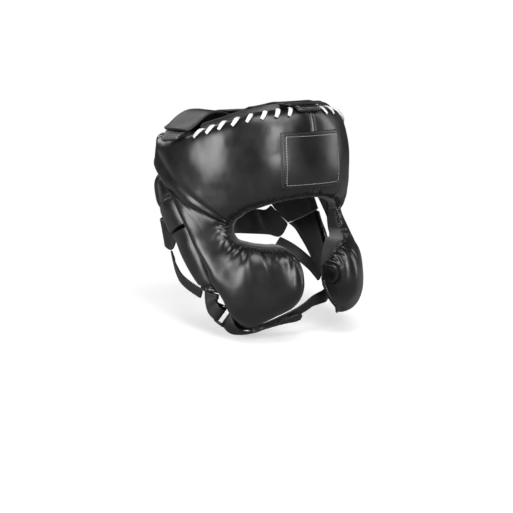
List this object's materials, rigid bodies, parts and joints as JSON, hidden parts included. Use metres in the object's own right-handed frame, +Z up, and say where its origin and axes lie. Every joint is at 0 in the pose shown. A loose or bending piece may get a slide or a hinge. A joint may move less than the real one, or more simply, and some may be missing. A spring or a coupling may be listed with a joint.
{
  "type": "boxing headgear",
  "caption": "Padded boxing headgear with cheek pads, ear guards, laced rim, crossed crown straps, nape pad, rear hook-and-loop closure and a ringed chin strap.",
  "frame": {"origin": "on the upright axis of the wearer's head, at brow level", "axes": "+Z up along the head, the face looks along -Y, the wearer's right is -X"},
  "size_m": [0.2098, 0.2484, 0.2486],
  "materials": {
    "padding_leather": "glossy grained black leather, puckered at the seams",
    "patch_leather": "smooth semi-gloss black leather with a thin light grey border",
    "strap_leather": "satin black leather straps, edge stitched",
    "suede_lining": "matt black suede with a fine mesh",
    "foam": "closed-cell foam padding",
    "white_lace": "flat woven white lace",
    "ring_metal": "dark nickel plated wire",
    "loop_tape": "black woven loop pile",
    "hook_tape": "black moulded hooks"
  },
  "bodies": {
    "shell": {"outer_leather_right": "padding_leather", "outer_leather_left": "padding_leather", "brow_foam_right": "foam", "brow_foam_left": "foam", "cheek_foam_right": "foam", "cheek_foam_left": "foam", "lining_right": "suede_lining", "lining_left": "suede_lining", "patch_backing": "padding_leather", "front_patch": "patch_leather", "rim_band_right": "padding_leather", "rim_band_left": "padding_leather", "rim_lace": "white_lace", "rear_band_leather": "padding_leather", "rear_band_foam": "foam", "rear_band_lining": "suede_lining", "nape_leather": "padding_leather", "nape_foam": "foam", "nape_lining": "suede_lining", "ear_guard_right": "padding_leather", "ear_guard_left": "padding_leather", "ear_foam_right": "foam", "ear_foam_left": "foam", "ear_lining_right": "suede_lining", "ear_lining_left": "suede_lining", "jaw_tube_right": "padding_leather", "jaw_tube_left": "padding_leather", "jaw_tube_foam_right": "foam", "jaw_tube_foam_left": "foam", "ear_strap_right": "strap_leather", "ear_strap_left": "strap_leather", "rear_wing_right": "strap_leather", "rear_wing_left": "strap_leather", "rear_loop_tape": "loop_tape", "crown_tab_front": "strap_leather", "crown_strap_long": "strap_leather", "crown_front_loop_tape": "loop_tape", "crown_tab_right": "strap_leather", "crown_strap_side": "strap_leather", "crown_side_loop_tape": "loop_tape", "chin_strap": "strap_leather", "chin_loop_tape": "loop_tape", "chin_tab_right": "strap_leather", "chin_tab_left": "strap_leather", "chin_ring": "ring_metal"},
    "crown_front": {"crown_front_flap": "strap_leather", "crown_front_hook_tape": "hook_tape"},
    "crown_side": {"crown_side_flap": "strap_leather", "crown_side_hook_tape": "hook_tape"},
    "rear_closure": {"rear_flap": "strap_leather", "rear_hook_tape": "hook_tape"},
    "chin_end": {"chin_tip": "strap_leather", "chin_hook_tape": "hook_tape"}
  },
  "joints": [
    {"name": "crown_front_peel", "type": "hinge", "parent": "shell", "child": "crown_front", "pos_m": [0, -0.03381, 0.08786], "axis": [-1, 0, 0], "range_deg": [0, 100]},
    {"name": "crown_side_peel", "type": "hinge", "parent": "shell", "child": "crown_side", "pos_m": [-0.05002, 0.00452, 0.08356], "axis": [0, 0.9848, -0.1736], "range_deg": [0, 100]},
    {"name": "rear_flap_peel", "type": "hinge", "parent": "shell", "child": "rear_closure", "pos_m": [0.04708, 0.09715, -0.05827], "axis": [-0.131, -0.2704, -0.9538], "range_deg": [0, 100]},
    {"name": "chin_tip_peel", "type": "hinge", "parent": "shell", "child": "chin_end", "pos_m": [-0.07161, -0.06314, -0.14012], "axis": [-0.041, 0.85, -0.5252], "range_deg": [0, 90]}
  ]
}
